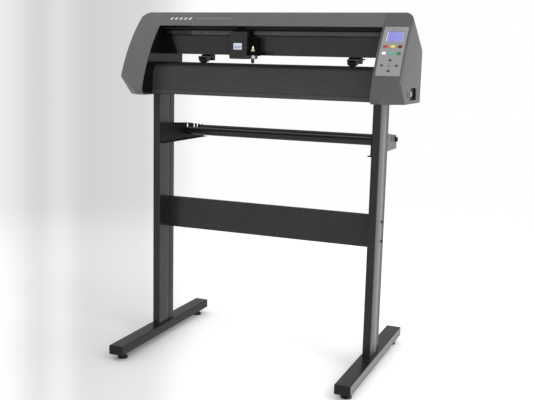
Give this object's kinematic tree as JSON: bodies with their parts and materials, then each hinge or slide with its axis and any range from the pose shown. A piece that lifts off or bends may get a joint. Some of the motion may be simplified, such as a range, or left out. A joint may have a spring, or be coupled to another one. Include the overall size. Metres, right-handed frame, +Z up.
{
  "type": "vinyl cutter",
  "caption": "Floor-standing vinyl cutter: a grooved media bed with drag-knife carriage on a guide beam, keypad with display, and a two-leg stand with media rods.",
  "frame": {"origin": "centre of the footprint on the floor", "axes": "+X to the operator's right along the guide beam, +Y to the rear, +Z up; the operator stands at -Y"},
  "size_m": [0.926, 0.606, 1.1102],
  "materials": {
    "stand_paint": "satin black-grey powder paint",
    "stand_extrusion": "dark anodised, fine extrusion lines",
    "black_plastic": "moulded black",
    "screw_black": "black oxide",
    "zinc_steel": "zinc plated",
    "rod_steel": "black gloss tube",
    "cover_grey": "dark grey moulded shell",
    "fascia_grey": "dark grey satin paint",
    "apron_black": "black anodised, ribbed",
    "beam_black": "black anodised",
    "rail_steel": "blackened rail",
    "strip_black": "cutting strip",
    "panel_grey": "printed overlay plate",
    "lcd": "backlit display",
    "key_red": "domed key",
    "key_yellow": "domed key",
    "key_maroon": "domed key",
    "key_white": "domed key",
    "key_teal": "domed key",
    "key_green": "domed key",
    "key_dark": "small key",
    "key_mid": "small key",
    "board_green": "printed circuit board",
    "psu_steel": "perforated case",
    "motor_black": "motor body",
    "belt_rubber": "timing belt",
    "pulley_alu": "turned",
    "shaft_steel": "ground shaft, knurled bands",
    "carriage_black": "black moulded cover",
    "carriage_alu": "black anodised carriage",
    "holder_metal": "turned holder",
    "pinch_black": "black moulded",
    "pinch_grey": "cast arm and lever",
    "pinch_rubber": "tyre of the pinch wheel"
  },
  "bodies": {
    "frame": {"foot_tubes": "stand_paint", "foot_end_caps": "black_plastic", "levelling_feet": "black_plastic", "legs": "stand_extrusion", "stand_screws": "screw_black", "cross_panel": "stand_extrusion", "roll_brackets": "stand_paint", "bottom_pan": "stand_paint", "side_plates": "stand_paint", "frame_screws": "zinc_steel", "front_apron": "apron_black", "rear_apron": "apron_black", "platen": "apron_black", "cutting_strip": "strip_black", "guide_beam": "beam_black", "guide_rail": "rail_steel", "top_cover": "fascia_grey", "left_end_cover": "cover_grey", "right_end_cover": "cover_grey", "control_panel": "panel_grey", "display_module": "lcd", "main_board": "board_green", "power_supply": "psu_steel", "power_sockets": "black_plastic", "feed_motor": "motor_black", "carriage_motor": "motor_black", "shaft_bearings": "zinc_steel", "timing_belts": "belt_rubber"},
    "carriage": {"carriage_plate": "carriage_alu", "carriage_cover": "carriage_black", "tool_solenoid": "motor_black"},
    "tool": {"tool_slide": "carriage_alu", "blade_holder": "holder_metal"},
    "clamp_screw_body": {"clamp_screw": "black_plastic"},
    "feed_shaft": {"drive_shaft": "shaft_steel", "shaft_pulley": "pulley_alu"},
    "feed_pulley": {"feed_motor_pulley": "pulley_alu"},
    "belt_pulley": {"carriage_motor_pulley": "pulley_alu"},
    "belt_idler": {"idler_pulley": "pulley_alu"},
    "front_rod": {"front_roll_rod": "rod_steel"},
    "rear_rod": {"rear_roll_rod": "rod_steel", "rear_rod_caps": "black_plastic"},
    "left_carrier": {"left_pinch_carrier": "pinch_black"},
    "left_arm": {"left_pinch_arm": "pinch_grey"},
    "left_wheel": {"left_pinch_wheel": "pinch_rubber"},
    "right_carrier": {"right_pinch_carrier": "pinch_black"},
    "right_arm": {"right_pinch_arm": "pinch_grey"},
    "right_wheel": {"right_pinch_wheel": "pinch_rubber"},
    "rocker": {"power_rocker": "black_plastic"},
    "key_red_body": {"key_red": "key_red"},
    "key_yellow_body": {"key_yellow": "key_yellow"},
    "key_maroon_body": {"key_maroon": "key_maroon"},
    "key_white_body": {"key_white": "key_white"},
    "key_teal_body": {"key_teal": "key_teal"},
    "key_green_body": {"key_green": "key_green"},
    "key_up_body": {"key_up": "key_dark"},
    "key_left_body": {"key_left": "key_dark"},
    "key_enter_body": {"key_enter": "key_mid"},
    "key_right_body": {"key_right": "key_dark"},
    "key_down_body": {"key_down": "key_dark"}
  },
  "joints": [
    {"name": "carriage_slide", "type": "slide", "parent": "frame", "child": "carriage", "axis": [1, 0, 0], "range_m": [-0.252, 0.37]},
    {"name": "tool_lift", "type": "slide", "parent": "carriage", "child": "tool", "axis": [0, 0, 1], "range_m": [-0.0015, 0.003]},
    {"name": "clamp_turn", "type": "hinge", "parent": "tool", "child": "clamp_screw_body", "pos_m": [0, -0.0285, 0.982], "axis": [1, 0, 0], "range_deg": [0, 270]},
    {"name": "feed_spin", "type": "hinge", "parent": "frame", "child": "feed_shaft", "pos_m": [0, 0.02, 0.9345], "axis": [1, 0, 0], "continuous": true},
    {"name": "feed_pulley_spin", "type": "hinge", "parent": "frame", "child": "feed_pulley", "pos_m": [0.388, 0.02, 0.884], "axis": [1, 0, 0], "continuous": true},
    {"name": "belt_pulley_spin", "type": "hinge", "parent": "frame", "child": "belt_pulley", "pos_m": [-0.412, 0.00825, 1.058], "axis": [0, 0, 1], "range_deg": [-1900, 2800]},
    {"name": "belt_idler_spin", "type": "hinge", "parent": "frame", "child": "belt_idler", "pos_m": [0.412, 0.00825, 1.058], "axis": [0, 0, 1], "range_deg": [-1900, 2800]},
    {"name": "front_rod_spin", "type": "hinge", "parent": "frame", "child": "front_rod", "pos_m": [0, 0.145, 0.709], "axis": [1, 0, 0], "continuous": true},
    {"name": "rear_rod_spin", "type": "hinge", "parent": "frame", "child": "rear_rod", "pos_m": [0, 0.246, 0.711], "axis": [1, 0, 0], "continuous": true},
    {"name": "left_pinch_shift", "type": "slide", "parent": "frame", "child": "left_carrier", "axis": [1, 0, 0], "range_m": [-0.075, 0.155]},
    {"name": "left_pinch_lift", "type": "hinge", "parent": "left_carrier", "child": "left_arm", "pos_m": [-0.238, 0.05, 0.962], "axis": [1, 0, 0], "range_deg": [-4.5, 0]},
    {"name": "left_wheel_spin", "type": "hinge", "parent": "left_arm", "child": "left_wheel", "pos_m": [-0.238, 0.02, 0.9538], "axis": [1, 0, 0], "continuous": true},
    {"name": "right_pinch_shift", "type": "slide", "parent": "frame", "child": "right_carrier", "axis": [1, 0, 0], "range_m": [-0.149, 0.056]},
    {"name": "right_pinch_lift", "type": "hinge", "parent": "right_carrier", "child": "right_arm", "pos_m": [0.272, 0.05, 0.962], "axis": [1, 0, 0], "range_deg": [-4.5, 0]},
    {"name": "right_wheel_spin", "type": "hinge", "parent": "right_arm", "child": "right_wheel", "pos_m": [0.272, 0.02, 0.9538], "axis": [1, 0, 0], "continuous": true},
    {"name": "power_rock", "type": "hinge", "parent": "frame", "child": "rocker", "pos_m": [0.4575, -0.038, 0.87], "axis": [0, 1, 0], "range_deg": [0, 9]},
    {"name": "key_red_press", "type": "slide", "parent": "frame", "child": "key_red_body", "axis": [0, 0.8238, -0.5669], "range_m": [0, 0.001]},
    {"name": "key_yellow_press", "type": "slide", "parent": "frame", "child": "key_yellow_body", "axis": [0, 0.8238, -0.5669], "range_m": [0, 0.001]},
    {"name": "key_maroon_press", "type": "slide", "parent": "frame", "child": "key_maroon_body", "axis": [0, 0.8238, -0.5669], "range_m": [0, 0.001]},
    {"name": "key_white_press", "type": "slide", "parent": "frame", "child": "key_white_body", "axis": [0, 0.8497, -0.5273], "range_m": [0, 0.001]},
    {"name": "key_teal_press", "type": "slide", "parent": "frame", "child": "key_teal_body", "axis": [0, 0.8497, -0.5273], "range_m": [0, 0.001]},
    {"name": "key_green_press", "type": "slide", "parent": "frame", "child": "key_green_body", "axis": [0, 0.8497, -0.5273], "range_m": [0, 0.001]},
    {"name": "key_up_press", "type": "slide", "parent": "frame", "child": "key_up_body", "axis": [0, 0.8729, -0.488], "range_m": [0, 0.001]},
    {"name": "key_left_press", "type": "slide", "parent": "frame", "child": "key_left_body", "axis": [0, 0.8888, -0.4582], "range_m": [0, 0.001]},
    {"name": "key_enter_press", "type": "slide", "parent": "frame", "child": "key_enter_body", "axis": [0, 0.8888, -0.4582], "range_m": [0, 0.001]},
    {"name": "key_right_press", "type": "slide", "parent": "frame", "child": "key_right_body", "axis": [0, 0.8888, -0.4582], "range_m": [0, 0.001]},
    {"name": "key_down_press", "type": "slide", "parent": "frame", "child": "key_down_body", "axis": [0, 0.9039, -0.4277], "range_m": [0, 0.001]}
  ],
  "couplings": [
    {"joint": "feed_pulley_spin", "follows": "feed_spin", "ratio": 2.25},
    {"joint": "left_wheel_spin", "follows": "feed_spin", "ratio": -1.7143},
    {"joint": "right_wheel_spin", "follows": "feed_spin", "ratio": -1.7143},
    {"joint": "belt_pulley_spin", "follows": "carriage_slide", "rad_per_m": 130.9},
    {"joint": "belt_idler_spin", "follows": "carriage_slide", "rad_per_m": 130.9}
  ]
}
